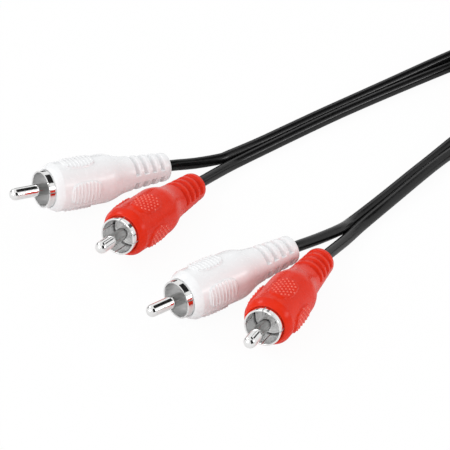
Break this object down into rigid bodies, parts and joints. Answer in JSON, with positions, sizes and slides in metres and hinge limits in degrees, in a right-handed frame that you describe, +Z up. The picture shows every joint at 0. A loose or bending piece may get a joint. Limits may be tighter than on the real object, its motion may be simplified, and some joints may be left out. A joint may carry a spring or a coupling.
{
  "type": "audio cable",
  "caption": "Stereo line cable: a black twin cord with a white and a red moulded phono plug at each end, its spare length in a tied coil.",
  "frame": {"origin": "bottom centre of the four plugs' bounding box, on the surface that they lie on", "axes": "+Z up, +X to the right and +Y away, as the picture looks: the pins point towards -X and -Y, and the cord leaves towards +X and +Y"},
  "size_m": [0.2031, 0.171, 0.015],
  "materials": {
    "white_pvc": "satin moulded",
    "red_pvc": "satin moulded",
    "bright_nickel": "bright plated",
    "pale_nylon": "matt",
    "natural_polythene": "matt",
    "tinned_copper": "bright",
    "black_pvc": "satin",
    "tie_pvc": "matt"
  },
  "bodies": {
    "root": {"upper_white_housing": "white_pvc", "upper_white_ground_sleeve": "bright_nickel", "upper_white_insulating_bush": "pale_nylon", "upper_white_centre_pin": "bright_nickel", "upper_white_inner_mould": "natural_polythene", "upper_white_signal_core": "tinned_copper", "upper_white_screen_wire": "tinned_copper", "upper_white_strand": "black_pvc", "upper_red_housing": "red_pvc", "upper_red_ground_sleeve": "bright_nickel", "upper_red_insulating_bush": "pale_nylon", "upper_red_centre_pin": "bright_nickel", "upper_red_inner_mould": "natural_polythene", "upper_red_signal_core": "tinned_copper", "upper_red_screen_wire": "tinned_copper", "upper_red_strand": "black_pvc", "lower_white_housing": "white_pvc", "lower_white_ground_sleeve": "bright_nickel", "lower_white_insulating_bush": "pale_nylon", "lower_white_centre_pin": "bright_nickel", "lower_white_inner_mould": "natural_polythene", "lower_white_signal_core": "tinned_copper", "lower_white_screen_wire": "tinned_copper", "lower_white_strand": "black_pvc", "lower_red_housing": "red_pvc", "lower_red_ground_sleeve": "bright_nickel", "lower_red_insulating_bush": "pale_nylon", "lower_red_centre_pin": "bright_nickel", "lower_red_inner_mould": "natural_polythene", "lower_red_signal_core": "tinned_copper", "lower_red_screen_wire": "tinned_copper", "lower_red_strand": "black_pvc", "cord_coil": "black_pvc", "coil_tie": "tie_pvc"}
  },
  "joints": []
}
